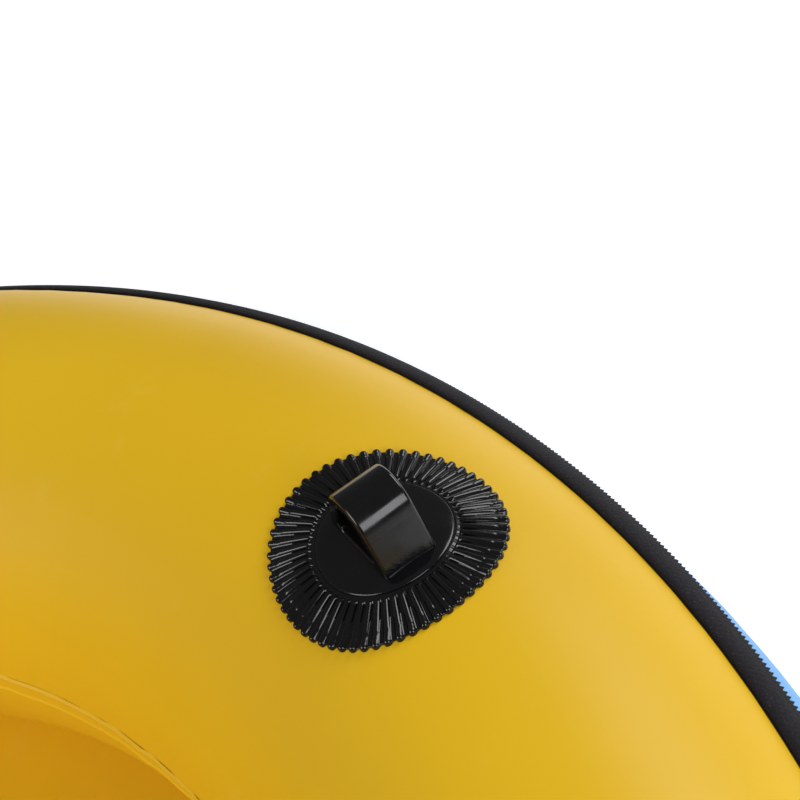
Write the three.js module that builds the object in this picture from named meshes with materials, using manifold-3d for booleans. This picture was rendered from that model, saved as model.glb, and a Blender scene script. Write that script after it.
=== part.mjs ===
// Towable tube: an inflatable ring 1.2 m across, made of a PVC-coated cover over an air bladder.
// Millimetres, +Z up, +Y towards the tow lug. The origin is at the centre of the underside.

import * as THREE from 'three';
import { mergeVertices } from 'three/addons/utils/BufferGeometryUtils.js';
import Module from 'manifold-3d';

const wasm = await Module();
wasm.setup();

// ---- driving dimensions ----

const GAP = 0.3;                 // clearance between pieces that touch

const ringRadius = 485;          // centre line of the inflated ring
const halfWidth = 115;           // half of the ring's section, across
const halfHeight = 130;          // half of the ring's section, up
const floorPress = 4.4;          // how far the underside is pressed flat by its own weight
const ringSegments = 32;

const coverThick = 1.2;
const bladderClearance = 2.8;    // between cover and bladder
const bladderThick = 1;

const outerSeamAngle = 41.1;     // where the upper and lower covers meet, outside
const innerSeamAngle = 180;      // where the upper cover and the cockpit wall meet
const floorSeamAngle = 235;      // where wall, floor and lower cover meet
const bindingWidth = 15.4;
const bindingThick = 1;
const bindingSlope = -37.5;      // the sewn flange lies outwards and down
const innerTapeAngles = [177.7, innerSeamAngle, 182.4];
const innerTapeThick = 1;
const flangeLength = 13;         // cover fabric inside the binding

const lugAngle = 86.4;           // place of the tow lug on the section
const lugSkirtRadius = 50.8;
const lugFootRadius = 28.8;
const lugHalfBase = 21.2;
const lugHeight = 30;
const lugLength = 24;            // along its hole
const lugTopRadius = 14.5;
const lugFlankBase = 2;          // height at which the arch's straight flanks start
const lugSunk = 8;               // arch drawn this far into the cover before it is trimmed
const lugHoleCrown = { x: 0, z: 15.5, radius: 8.5 };
const lugHoleCorner = { x: 9.5, z: 6.5, radius: 3.5 };
const lugFootThick = 2.5;
const lugSkirtThick = 2;
const lugSegments = 28;

const handleHalfSpan = 85;       // from the middle of the handle to each of its lugs
const handleReach = 45;          // from the line through the lugs to the grip
const handleRest = -7;           // degrees from level, lying on the outer shoulder
const handleAxisHeight = 13;
const ropeRadius = 4.5;
const knotRadius = 11;
const gripRadius = 12.5;
const gripHalfLength = 44;

const valveNeckRadius = 16;
const valveHoleRadius = 23;      // opening in the upper cover
const valveBaseZ = 247.6;
const crestCut = [200, 300];     // heights between which the openings for the valve are cut

const zipHalfAngle = 36;         // half of the zipper's length, in degrees round the ring
const zipSliderAngle = 33;       // closed end, where the slider is parked
const zipStopAngle = 35.2;
const zipTapeReach = 15;         // from the zipper's middle to the edge of each tape
const zipCoilReach = 3.2;

// ---- colours ----

const yellow = { color: 0xe0b52d, roughness: 0.42, metalness: 0 };
const blue = { color: 0x5b9fe0, roughness: 0.45, metalness: 0 };
const blackTape = { color: 0x2b282e, roughness: 0.9, metalness: 0 };
const blackMoulded = { color: 0x0d0d0f, roughness: 0.2, metalness: 0 };
const blackFoam = { color: 0x1b1b1d, roughness: 0.8, metalness: 0 };
const bladderVinyl = { color: 0x2c2f33, roughness: 0.5, metalness: 0 };
const ropeYarn = { color: 0x1f2024, roughness: 0.85, metalness: 0 };
const zipMetal = { color: 0x8d8f94, roughness: 0.3, metalness: 0.9 };

// ---- helpers ----

const rad = THREE.MathUtils.degToRad;
const model = new THREE.Group();

function addPart(parent, name, geometry, look) {
  const mesh = new THREE.Mesh(geometry, new THREE.MeshStandardMaterial(look));
  mesh.name = name;
  parent.add(mesh);
  return mesh;
}

// Turns a geometry into a solid for cutting and joining.
function solid(geometry) {
  const bare = geometry.clone();
  bare.deleteAttribute('normal');
  bare.deleteAttribute('uv');
  const merged = mergeVertices(bare, 1e-4);
  const index = merged.getIndex().array;
  const corners = [];
  for (let i = 0; i < index.length; i += 3) {
    const [a, b, c] = [index[i], index[i + 1], index[i + 2]];
    if (a !== b && b !== c && c !== a) corners.push(a, b, c);
  }
  return new wasm.Manifold(new wasm.Mesh({
    numProp: 3,
    vertProperties: new Float32Array(merged.getAttribute('position').array),
    triVerts: new Uint32Array(corners),
  }));
}

function toGeometry(manifold) {
  const mesh = manifold.getMesh();
  const geometry = new THREE.BufferGeometry();
  geometry.setAttribute('position', new THREE.BufferAttribute(mesh.vertProperties, 3));
  geometry.setIndex(new THREE.BufferAttribute(mesh.triVerts, 1));
  geometry.computeVertexNormals();
  return geometry;
}

// Revolves a closed outline of [radius, height] points about Z.
function revolve(outline, segments = ringSegments) {
  let area = 0;
  outline.forEach(([r, z], i) => {
    const [nextR, nextZ] = outline[(i + 1) % outline.length];
    area += r * nextZ - nextR * z;
  });
  const points = (area > 0 ? outline : [...outline].reverse()).map(([r, z]) => new THREE.Vector2(r, z));
  if (outline.every(([r]) => r > 0)) points.push(points[0].clone());
  return new THREE.LatheGeometry(points, segments).rotateX(Math.PI / 2);
}

function cylinder(radius, bottom, top, segments = 32) {
  const geometry = new THREE.CylinderGeometry(radius, radius, top - bottom, segments);
  return geometry.rotateX(Math.PI / 2).translate(0, 0, (top + bottom) / 2);
}

// Extrudes a flat outline drawn in X and Z along Y, centred on Y = 0.
function slab(shape, length, curveSegments = 4) {
  const geometry = new THREE.ExtrudeGeometry(shape, { depth: length, bevelEnabled: false, curveSegments });
  return geometry.rotateX(Math.PI / 2).translate(0, length / 2, 0);
}

function shapeOf(points) {
  return new THREE.Shape(points.map(([x, y]) => new THREE.Vector2(x, y)));
}

// ---- the ring's section ----

// A point of the section: angle 0 outside, 90 on the crest, 180 at the cockpit. A positive inset is
// inside the surface, a negative one stands proud of it.
function section(angle, inset = 0) {
  const sine = Math.sin(rad(angle));
  const reach = halfHeight + (sine < 0 ? floorPress : 0) - inset;
  const z = Math.max(halfHeight + reach * sine, inset);
  return [ringRadius + (halfWidth - inset) * Math.cos(rad(angle)), z];
}

function skin(angles, inset, thick) {
  const outside = angles.map((angle) => section(angle, inset));
  const inside = angles.map((angle) => section(angle, inset + thick)).reverse();
  return [...outside, ...inside];
}

const flatAngle = 90 - THREE.MathUtils.radToDeg(Math.acos(halfHeight / (halfHeight + floorPress)));
const seamGap = 0.15;            // degrees left free on each side of a butt seam
const topAngles = [58, 76, 90, 104, 122, 141, 160, innerSeamAngle - seamGap];
const wallAngles = [innerSeamAngle + seamGap, 198, 217, floorSeamAngle];
const lowerAngles = [32, 16, 0, -18, -36, -54, -flatAngle, flatAngle - 180, floorSeamAngle - 360 + 0.3];

// Local frame of the sewn flange: d runs along it, n stands up from it.
const seamPoint = section(outerSeamAngle);
function onFlange(d, n) {
  const slope = rad(bindingSlope);
  return [
    seamPoint[0] + d * Math.cos(slope) - n * Math.sin(slope),
    seamPoint[1] + d * Math.sin(slope) + n * Math.cos(slope),
  ];
}

// ---- zipper's place on the lower cover ----

const zipTop = section(-18);
const zipBottom = section(-36);
const zipDrop = Math.hypot(zipBottom[0] - zipTop[0], zipBottom[1] - zipTop[1]);
const zipAlong = [(zipBottom[0] - zipTop[0]) / zipDrop, (zipBottom[1] - zipTop[1]) / zipDrop];
const zipOut = [-zipAlong[1], zipAlong[0]];
function onZip(s, h) {
  return [
    (zipTop[0] + zipBottom[0]) / 2 + s * zipAlong[0] + h * zipOut[0],
    (zipTop[1] + zipBottom[1]) / 2 + s * zipAlong[1] + h * zipOut[1],
  ];
}

const zipSegments = 160;
function zipArc(outline, halfAngle) {
  const wedge = new THREE.Shape();
  wedge.absarc(0, 0, 700, rad(-90 - halfAngle), rad(-90 + halfAngle), false);
  wedge.lineTo(0, 0);
  wedge.closePath();
  const cutter = new THREE.ExtrudeGeometry(wedge, { depth: 200, bevelEnabled: false, curveSegments: 8 });
  return solid(revolve(outline, zipSegments)).intersect(solid(cutter));
}

function zipBand(s0, s1, h0, h1, halfAngle = zipHalfAngle) {
  return zipArc([onZip(s0, h0), onZip(s1, h0), onZip(s1, h1), onZip(s0, h1)], halfAngle);
}

// ---- cover ----

function coverTop() {
  const flangeTip = [onFlange(flangeLength, -coverThick), onFlange(flangeLength, 0)];
  const outside = [onFlange(0, 0), ...topAngles.map((angle) => section(angle))];
  const inside = [section(outerSeamAngle, coverThick), ...topAngles.map((angle) => section(angle, coverThick))];
  const shell = solid(revolve([...flangeTip, ...outside, ...inside.reverse()]));
  const valveHole = cylinder(valveHoleRadius, ...crestCut).translate(0, -ringRadius, 0);
  return toGeometry(shell.subtract(solid(valveHole)));
}

function coverLower() {
  const upperFace = -coverThick - GAP;
  const lowerFace = upperFace - coverThick;
  const tucked = [[38, 3], [35, 0.9]];
  const outside = [
    onFlange(flangeLength, upperFace),
    onFlange(-0.6, upperFace),
    onFlange(-0.6, lowerFace - 2.9),
    ...tucked.map(([angle, inset]) => section(angle, inset + coverThick)),
    ...lowerAngles.map((angle) => section(angle, coverThick)),
  ];
  const back = [
    ...[...lowerAngles].reverse().map((angle) => section(angle)),
    ...[...tucked].reverse().map(([angle, inset]) => section(angle, inset)),
    onFlange(0.8, lowerFace - 1.7),
    onFlange(0.8, lowerFace),
    onFlange(flangeLength, lowerFace),
  ];
  const shell = solid(revolve([...outside, ...back]));
  return toGeometry(shell.subtract(zipBand(-4, 4, -8, 8, zipHalfAngle - 1)));
}

function outerBinding() {
  const top = GAP + bindingThick;
  const bottom = -2 * (coverThick + GAP) - bindingThick;
  return revolve([
    onFlange(0, GAP),
    onFlange(bindingWidth - bindingThick, GAP),
    onFlange(bindingWidth - bindingThick, bottom + bindingThick),
    onFlange(1.6, bottom + bindingThick),
    onFlange(1.6, bottom),
    onFlange(bindingWidth, bottom),
    onFlange(bindingWidth, top),
    onFlange(0, top),
  ]);
}

const floorTop = section(floorSeamAngle)[1];
const floorRadius = section(floorSeamAngle)[0] - 0.5;

function floorSeamTape() {
  const underFloor = floorTop - coverThick - GAP;
  return revolve([
    [floorRadius - 14, underFloor],
    section(236.3, -0.45),
    section(241, -0.45),
    section(241, -1.5),
    section(237.6, -1.6),
    [floorRadius - 14, underFloor - 1.1],
  ]);
}

addPart(model, 'cover_top', coverTop(), yellow);
addPart(model, 'cover_lower', coverLower(), blue);
addPart(model, 'cover_inner_wall', revolve(skin(wallAngles, 0, coverThick)), yellow);
addPart(model, 'cover_floor', revolve([
  [0, floorTop - coverThick], [floorRadius, floorTop - coverThick], [floorRadius, floorTop], [0, floorTop],
]), yellow);
addPart(model, 'outer_binding', outerBinding(), blackTape);
addPart(model, 'inner_seam_tape', revolve(skin(innerTapeAngles, -GAP - innerTapeThick, innerTapeThick)), yellow);
addPart(model, 'floor_seam_tape', floorSeamTape(), yellow);

// ---- bladder ----

const bladderInset = coverThick + bladderClearance;
const bladderTopAngles = [0.2, 30, 58, 76, 90, 104, 122, 150, 179.8];
const bladderLowAngles = [-0.2, -30, -54, -flatAngle, flatAngle - 180, -126, -150, -179.8];

function bladderUpper() {
  const shell = solid(revolve(skin(bladderTopAngles, bladderInset, bladderThick)));
  const hole = cylinder(valveNeckRadius + 1, ...crestCut, 24).translate(0, -ringRadius, 0);
  return toGeometry(shell.subtract(solid(hole)));
}

addPart(model, 'bladder_upper', bladderUpper(), bladderVinyl);
addPart(model, 'bladder_lower', revolve(skin(bladderLowAngles, bladderInset, bladderThick)), bladderVinyl);

// ---- moulded lugs ----

// Everything of the ring's crest inside the given inset, as one solid.
const crestAngles = [45, 58, 76, 90, 104, 122, 141];
function crestSolid(inset) {
  const rim = crestAngles.map((angle) => section(angle, inset));
  return solid(revolve([...rim, [ringRadius, halfHeight]]));
}

function patch(place, outerRadius, innerRadius, thick, segments) {
  const ring = crestSolid(-GAP - thick).subtract(crestSolid(-GAP));
  const disc = solid(place(cylinder(outerRadius, -20, 20, segments)));
  const cut = ring.intersect(disc);
  return innerRadius ? cut.subtract(solid(place(cylinder(innerRadius, -21, 21, segments)))) : cut;
}

// Angle at which the outer tangent of two circles touches both, from the wide one at the origin's side.
function tangentAngle(dx, dy, bigRadius, smallRadius) {
  return Math.atan2(dy, dx) + Math.acos((bigRadius - smallRadius) / Math.hypot(dx, dy));
}

function lugOutline() {
  const topCentre = lugHeight - lugTopRadius;
  const touch = tangentAngle(lugHalfBase, lugFlankBase - topCentre, lugTopRadius, 0);
  const outline = new THREE.Shape();
  outline.moveTo(-lugHalfBase, -lugSunk);
  outline.lineTo(lugHalfBase, -lugSunk);
  outline.lineTo(lugHalfBase, lugFlankBase);
  outline.absarc(0, topCentre, lugTopRadius, touch, Math.PI - touch, false);
  outline.lineTo(-lugHalfBase, lugFlankBase);
  outline.closePath();
  const [crown, corner] = [lugHoleCrown, lugHoleCorner];
  const side = tangentAngle(corner.x, corner.z - crown.z, crown.radius, corner.radius);
  const hole = new THREE.Path();
  hole.absarc(crown.x, crown.z, crown.radius, side, Math.PI - side, false);
  hole.absarc(-corner.x, corner.z, corner.radius, Math.PI - side, 1.5 * Math.PI, false);
  hole.absarc(corner.x, corner.z, corner.radius, 1.5 * Math.PI, 2 * Math.PI + side, false);
  hole.closePath();
  outline.holes.push(hole);
  return outline;
}

// A lug has a ribbed skirt welded to the cover and, inside it, a foot with the arched eye.
function addLug(name, place) {
  const skirt = patch(place, lugSkirtRadius, lugFootRadius + GAP, lugSkirtThick, lugSegments);
  addPart(model, `${name}_skirt`, toGeometry(skirt), blackMoulded);
  const foot = patch(place, lugFootRadius, 0, lugFootThick, lugSegments);
  const arch = solid(place(slab(lugOutline(), lugLength))).subtract(crestSolid(-GAP));
  addPart(model, `${name}_eye`, toGeometry(foot.add(arch)), blackMoulded);
}

const [lugR, lugZ] = section(lugAngle);
const lugTilt = rad(90) - Math.atan2(Math.sin(rad(lugAngle)) / halfHeight, Math.cos(rad(lugAngle)) / halfWidth);
addLug('tow_lug', (geometry) => geometry.rotateX(-lugTilt).translate(0, lugR, lugZ));

// ---- side handles: a short rope through two lugs, with a grip on it ----

const crestZ = 2 * halfHeight;
const handleX = Math.sqrt(ringRadius ** 2 - handleHalfSpan ** 2);

// The rope runs along Y through both lugs and bows out along +X to the grip.
function ropeGeometry() {
  const half = [
    [0, handleHalfSpan + 24], [0, handleHalfSpan], [0, handleHalfSpan - 14],
    [7, handleHalfSpan - 22], [24, gripHalfLength + 15], [37, gripHalfLength + 10],
    [handleReach - 1, gripHalfLength + 3.5], [handleReach, gripHalfLength - 3],
    [handleReach, gripHalfLength - 12], [handleReach, 12],
  ];
  const points = half.map(([x, y]) => new THREE.Vector3(x, -y, 0));
  const back = half.map(([x, y]) => new THREE.Vector3(x, y, 0)).reverse();
  const path = new THREE.CatmullRomCurve3([...points, ...back], false, 'centripetal');
  const circle = new THREE.Shape().absarc(0, 0, ropeRadius, 0, 2 * Math.PI, false);
  const rope = new THREE.ExtrudeGeometry(circle, { steps: 28, extrudePath: path, curveSegments: 4 });
  const knot = new THREE.SphereGeometry(knotRadius, 10, 7);
  const knotY = handleHalfSpan + lugLength / 2 + knotRadius + 1;
  return solid(rope)
    .add(solid(knot.clone().translate(0, knotY, 0)))
    .add(solid(knot.clone().translate(0, -knotY, 0)));
}

function gripGeometry() {
  const bore = ropeRadius + 0.7;
  const outline = [
    [bore, -gripHalfLength], [gripRadius - 2, -gripHalfLength], [gripRadius, -gripHalfLength + 2],
    [gripRadius, gripHalfLength - 2], [gripRadius - 2, gripHalfLength], [bore, gripHalfLength],
  ];
  return revolve(outline, 20).rotateX(Math.PI / 2).translate(handleReach, 0, 0);
}

function addHandle(side, sign) {
  for (const [end, endSign] of [['front', 1], ['rear', -1]]) {
    const place = (geometry) => geometry.translate(sign * handleX, endSign * handleHalfSpan, crestZ);
    addLug(`${side}_handle_${end}_lug`, place);
  }
  const holder = new THREE.Group();
  holder.position.set(sign * handleX, 0, crestZ + handleAxisHeight);
  if (sign < 0) holder.rotation.z = Math.PI;
  const bow = new THREE.Group();
  bow.rotation.y = rad(-handleRest);
  holder.add(bow);
  addPart(bow, `${side}_handle_rope`, toGeometry(ropeGeometry()), ropeYarn);
  addPart(bow, `${side}_handle_grip`, gripGeometry(), blackFoam);
  model.add(holder);
}

addHandle('right', 1);
addHandle('left', -1);

// ---- inflation valve, upright on the crest at the rear ----

const valve = new THREE.Group();
valve.position.set(0, -ringRadius, valveBaseZ);
model.add(valve);

const valveSegments = 20;
const neckBore = 13;
const neckTop = 14.4;
const insertBore = 9.5;
const seatZ = 2.4;
const insertTop = 17.6;
const capRadius = 20;
const skirtBottom = 14.8;
const tetherRadius = 22.4;
const tetherTop = 17.2;
const strapWidth = 4;

function valveInsert() {
  const outer = neckBore - GAP;
  const body = solid(revolve([
    [1.9, seatZ], [outer, seatZ], [outer, 16], [17.5, 16], [17.5, insertTop],
    [insertBore, insertTop], [insertBore, seatZ + 1.2], [1.9, seatZ + 1.2],
  ], valveSegments));
  let cut = body;
  for (let i = 0; i < 6; i += 1) {
    const turn = rad(60 * i);
    const port = cylinder(1.9, 0, 6, 8).translate(5.8 * Math.cos(turn), 5.8 * Math.sin(turn), 0);
    cut = cut.subtract(solid(port));
  }
  return toGeometry(cut);
}

// The strap's collar sits under the cap's skirt. The hairpin steps up to clear the cover as it turns.
function tetherStrap() {
  const [collarLow, collarTop] = [12.4, 13.6];
  const [lowerRun, upperRun] = [[14.2, 15.2], [16.2, tetherTop]];
  const bend = (lowerRun[0] + tetherTop) / 2;
  const ring = solid(revolve([
    [16.4, collarLow], [18.6, collarLow], [18.6, collarTop], [16.4, collarTop],
  ], valveSegments));
  const hairpin = shapeOf([
    [18, collarLow], [19.6, collarLow], [22.4, lowerRun[0]], [29, lowerRun[0]], [30.4, bend],
    [29, tetherTop], [tetherRadius + GAP, tetherTop], [tetherRadius + GAP, upperRun[0]], [28.4, upperRun[0]],
    [28.8, bend], [28.4, lowerRun[1]], [22, lowerRun[1]], [19.4, collarTop], [18, collarTop],
  ]);
  const strap = slab(hairpin, strapWidth).rotateZ(-Math.PI / 2);
  return toGeometry(ring.add(solid(strap)));
}

addPart(valve, 'valve_base', revolve([
  [neckBore, 0], [28, 0], [28, 1.5], [valveNeckRadius, 1.5], [valveNeckRadius, neckTop], [neckBore, neckTop],
], valveSegments), blackMoulded);
addPart(valve, 'valve_gasket', revolve([
  [neckBore + 0.2, 14.7], [17, 14.7], [17, 15.7], [neckBore + 0.2, 15.7],
], valveSegments), blackFoam);
addPart(valve, 'valve_insert', valveInsert(), blackMoulded);
addPart(valve, 'valve_diaphragm', revolve([
  [0, 0.8], [11, 0.8], [11, 2.0], [1.3, 2.0], [1.3, 5.4], [2.3, 5.4], [1.4, 6.6], [0, 6.6],
], valveSegments), blackFoam);
addPart(valve, 'valve_tether_strap', tetherStrap(), blackMoulded);
addPart(valve, 'valve_tether_ring', revolve([
  [capRadius + GAP, 16], [tetherRadius, 16], [tetherRadius, tetherTop], [capRadius + GAP, tetherTop],
], valveSegments), blackMoulded);
addPart(valve, 'valve_cap', revolve([
  [0, 9.4], [insertBore - GAP, 9.4], [insertBore - GAP, 18], [18, 18], [18, skirtBottom],
  [capRadius, skirtBottom],
  [capRadius, 19.2], [capRadius - 1, 20], [0, 20],
], valveSegments), blackMoulded);

const coverRingRadius = 36;
const atValve = (geometry) => geometry.translate(0, -ringRadius, crestZ);
const coverRing = patch(atValve, coverRingRadius, valveHoleRadius, coverThick, 24);
addPart(model, 'valve_cover_ring', toGeometry(coverRing), yellow);

// ---- zipper that lets the bladder in, low on the rear of the cover ----

const tapeTop = GAP + 0.8;
const [coilLow, coilTop] = [tapeTop + GAP, tapeTop + GAP + 2];
const coilHalfGap = 0.15;
addPart(model, 'zip_tape_upper', toGeometry(zipBand(-zipTapeReach, -0.6, GAP, tapeTop)), blackTape);
addPart(model, 'zip_tape_lower', toGeometry(zipBand(0.6, zipTapeReach, GAP, tapeTop)), blackTape);
addPart(model, 'zip_coil_upper', toGeometry(zipBand(-zipCoilReach, -coilHalfGap, coilLow, coilTop)), blackTape);
addPart(model, 'zip_coil_lower', toGeometry(zipBand(coilHalfGap, zipCoilReach, coilLow, coilTop)), blackTape);

// Small pieces on the zipper are drawn with X round the ring, Y up the cover and Z outwards.
function atZip(angleFromRear) {
  const turn = new THREE.Group();
  turn.rotation.z = rad(angleFromRear);
  const seat = new THREE.Group();
  const [r, z] = onZip(0, 0);
  seat.position.set(0, -r, z);
  seat.rotation.x = Math.atan2(-zipAlong[1], zipAlong[0]);
  turn.add(seat);
  model.add(turn);
  return seat;
}

const pullPivotHeight = 9.5;
function zipSlider() {
  const body = shapeOf([[-8, -4], [-5, -5.5], [4, -6.5], [8, -5], [8, 5], [4, 6.5], [-5, 5.5], [-8, 4]]);
  const plate = new THREE.ExtrudeGeometry(body, { depth: 2.2, bevelEnabled: false }).translate(0, 0, 4);
  const post = new THREE.BoxGeometry(1.6, 2.6, pullPivotHeight - 3.8);
  const bar = new THREE.CylinderGeometry(1, 1, 8.4, 10).rotateZ(Math.PI / 2).translate(0, 0, pullPivotHeight);
  const postZ = (pullPivotHeight + 5) / 2;
  return toGeometry(solid(plate)
    .add(solid(post.clone().translate(-4.6, 0, postZ)))
    .add(solid(post.clone().translate(4.6, 0, postZ)))
    .add(solid(bar)));
}

// The pull hangs straight down from the slider's bar.
function zipPull() {
  const outline = new THREE.Shape();
  outline.absarc(0, 0, 3, rad(0), rad(180), false);
  outline.lineTo(-3, -6);
  outline.absarc(0, -26, 4.2, rad(180), rad(360), false);
  outline.lineTo(3, -6);
  outline.closePath();
  const eye = new THREE.Path().absarc(0, 0, 1.7, 0, 2 * Math.PI, true);
  outline.holes.push(eye);
  return new THREE.ExtrudeGeometry(outline, { depth: 1.6, bevelEnabled: false, curveSegments: 6 })
    .translate(0, 0, -0.8)
    .rotateY(Math.PI / 2);
}

const sliderSeat = atZip(-zipSliderAngle);
addPart(sliderSeat, 'zip_slider', zipSlider(), zipMetal);
const pullHolder = new THREE.Group();
pullHolder.position.set(0, 0, pullPivotHeight);
pullHolder.rotation.x = -sliderSeat.rotation.x + rad(90);
sliderSeat.add(pullHolder);
addPart(pullHolder, 'zip_pull', zipPull(), zipMetal);

for (const [name, angle] of [['zip_stop_closed', -zipStopAngle], ['zip_stop_open', zipStopAngle]]) {
  const stop = new THREE.BoxGeometry(3.4, 7.6, 1.4).translate(0, 0, 4.6);
  addPart(atZip(angle), name, stop, zipMetal);
}

export default model;
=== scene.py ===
import math

import bmesh
import bpy
import numpy as np
from mathutils import Matrix, Vector


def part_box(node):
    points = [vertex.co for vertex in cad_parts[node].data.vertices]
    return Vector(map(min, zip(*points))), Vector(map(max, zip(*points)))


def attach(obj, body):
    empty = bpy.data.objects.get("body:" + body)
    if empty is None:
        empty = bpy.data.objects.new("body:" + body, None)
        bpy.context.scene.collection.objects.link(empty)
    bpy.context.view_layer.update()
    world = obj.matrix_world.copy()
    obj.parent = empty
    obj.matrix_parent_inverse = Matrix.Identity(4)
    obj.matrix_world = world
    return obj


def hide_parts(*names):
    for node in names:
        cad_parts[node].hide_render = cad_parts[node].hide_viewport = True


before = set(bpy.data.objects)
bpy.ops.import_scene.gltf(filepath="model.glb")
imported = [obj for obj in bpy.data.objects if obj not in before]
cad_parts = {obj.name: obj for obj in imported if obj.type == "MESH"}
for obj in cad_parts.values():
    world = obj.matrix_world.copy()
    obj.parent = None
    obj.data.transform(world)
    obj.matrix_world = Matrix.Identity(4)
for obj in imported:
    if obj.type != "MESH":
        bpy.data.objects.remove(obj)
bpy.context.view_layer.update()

# ---- driving dimensions, in metres ----

MM = 0.001
TAU = 2 * math.pi

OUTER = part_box("cover_lower")[1].x
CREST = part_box("cover_top")[1].z
HALF_WIDTH = 0.115                 # of the ring's section
HALF_HEIGHT = CREST / 2
RING = OUTER - HALF_WIDTH          # radius of its centre line
FLOOR_PRESS = 0.0044               # how far the section would reach below the ground it is pressed onto
COVER_THICK = 0.0012

OUTER_SEAM = math.radians(41.1)    # angles on the section, from its outer equator over the crest
COCKPIT_SEAM = math.radians(175.4)
FLOOR_SEAM = math.radians(235)
SEAM_GAP = math.radians(0.15)      # on each side of the cockpit seam, under its weld
BINDING_SLOPE = math.radians(-37.5)
BINDING_WIDTH = 0.0154
FOLD_RADIUS = 2.6 * MM             # the tape's rounded fold, and its middle's height off the flange
FOLD_MIDDLE = -1.3 * MM
TOOTH_PITCH = 0.0024               # the loops along the fold: spacing, smallest reach, depth, half height
LOOP_REACH = 2.8 * MM
LOOP_DEPTH = 2.3 * MM
LOOP_HALF_HEIGHT = 1.9 * MM

LUG_ANGLE = math.radians(86.4)     # of the tow lug, on the section
LUG_RIBS = 58
SKIRT_RADIUS = 0.0508
FOOT_RADIUS = 0.0288
ARCH_HALF_BASE = 21.2              # the arch's own numbers, down to HOLE_CORNER, are in millimetres
ARCH_HALF_LENGTH = 12.0            # along its hole
ARCH_EDGE = 1.5                    # rounding of its open faces, outside and at the hole
ARCH_LIP = 0.9
ARCH_CROWN = (15.5, 14.5)          # height of its centre, and radius
HOLE_CROWN = (15.5, 8.5)
ARCH_FOOT = 0.8                    # where its flanks start, below the disc's surface
ARCH_MIDDLE = 13.0                 # height of the point inside the hole from which outlines are swept
HOLE_CORNER = (9.5, 6.5, 3.5)      # sideways, height and radius

EYE_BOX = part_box("right_handle_front_lug_eye")
HANDLE_X = (EYE_BOX[0].x + EYE_BOX[1].x) / 2
HANDLE_HALF_SPAN = 0.085           # from the handle's middle to each lug
HANDLE_AXIS_Z = CREST + 0.013
HANDLE_REACH = 0.045               # from the hinge line to the grip's axis
HANDLE_REST = math.radians(-7)
ROPE_RADIUS = 0.0045
KNOT_RADIUS = 7.0 * MM
KNOT_STRAND = 4.1 * MM
KNOT_TURNS = 2.4
GRIP_RADIUS = 0.0125
GRIP_HALF = 0.044
GRIP_EDGE = 2.5 * MM

VALVE_AT = Vector((0, -RING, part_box("valve_base")[0].z))
VALVE_OPENING = 23.4 * MM

ZIP_HALF = math.radians(36)        # half of the zipper's run round the rear
ZIP_ANGLES = np.radians([-18, -36])     # of its two edges, on the section
ZIP_LIFT = 0.4 * MM                # gap to the cover, and the tape's thickness
ZIP_TAPE = 0.8 * MM
ZIP_BULGE = 1.6 * MM
COIL_PITCH = 2.4 * MM
COIL_WIRE = 0.62 * MM              # radius of the coil's wire

CAMERA_PLACE = Vector((0.40153, 0.40409, 0.72098))
CAMERA_HEADING = math.radians(-73.57)      # from +Y towards +X
CAMERA_DIP = math.radians(44.11)
CAMERA_ROLL = math.radians(25.63)
CAMERA_LENS = 69.72

SEGMENTS = 320                     # round the ring

rng = np.random.default_rng(7)


# ---- mesh helpers ----

def grid(points, wrap_u=True, wrap_v=True):
    """Vertices and quads of a grid of points [nu, nv, 3]."""
    nu, nv = points.shape[:2]
    index = np.arange(nu * nv).reshape(nu, nv)
    if wrap_u:
        index = np.vstack([index, index[:1]])
    if wrap_v:
        index = np.hstack([index, index[:, :1]])
    quads = np.stack([index[:-1, :-1], index[1:, :-1], index[1:, 1:], index[:-1, 1:]], axis=-1)
    return points.reshape(-1, 3), quads.reshape(-1, 4)


def build(name, parts, material, body, replaces, sharp=40):
    """One piece from closed grids: (vertices, quads) pairs. Poles and doubled points are merged."""
    mesh = bpy.data.meshes.new(name)
    verts, faces, offset = [], [], 0
    for points, quads in parts:
        verts.append(points)
        faces.append(quads + offset)
        offset += len(points)
    mesh.from_pydata(np.vstack(verts).tolist(), [], [list(q) for f in faces for q in f.tolist()])
    work = bmesh.new()
    work.from_mesh(mesh)
    bmesh.ops.remove_doubles(work, verts=work.verts, dist=1e-6)
    bmesh.ops.dissolve_degenerate(work, edges=work.edges, dist=1e-7)
    bmesh.ops.recalc_face_normals(work, faces=work.faces)
    work.to_mesh(mesh)
    work.free()
    mesh.shade_smooth()
    mesh.set_sharp_from_angle(angle=math.radians(sharp))
    obj = bpy.data.objects.new(name, mesh)
    bpy.context.scene.collection.objects.link(obj)
    obj.data.materials.append(material)
    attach(obj, body)
    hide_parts(*replaces)
    return obj


def revolve(outline, segments, start=0.0, sweep=TAU, wobble=None):
    """Turns a closed outline [n, 2] of radius and height about Z. wobble(angle, outline) gives offsets."""
    closed = abs(sweep - TAU) < 1e-9
    phi = start + np.linspace(0, sweep, segments, endpoint=not closed)
    r = np.broadcast_to(outline[:, 0], (segments, len(outline))).copy()
    z = np.broadcast_to(outline[:, 1], (segments, len(outline))).copy()
    if wobble is not None:
        dr, dz = wobble(phi[:, None], outline)
        r += dr
        z += dz
    points = np.stack([r * np.sin(phi)[:, None], r * np.cos(phi)[:, None], z], axis=-1)
    if not closed:
        ends = [np.broadcast_to(points[k].mean(0), points[k].shape)[None] for k in (0, -1)]
        points = np.concatenate([ends[0], points, ends[1]])
    return grid(points, wrap_u=closed)


def moved(part, matrix):
    """The same grid in another place."""
    points, quads = part
    m = np.array(matrix)
    return points @ m[:3, :3].T + m[:3, 3], quads


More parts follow.
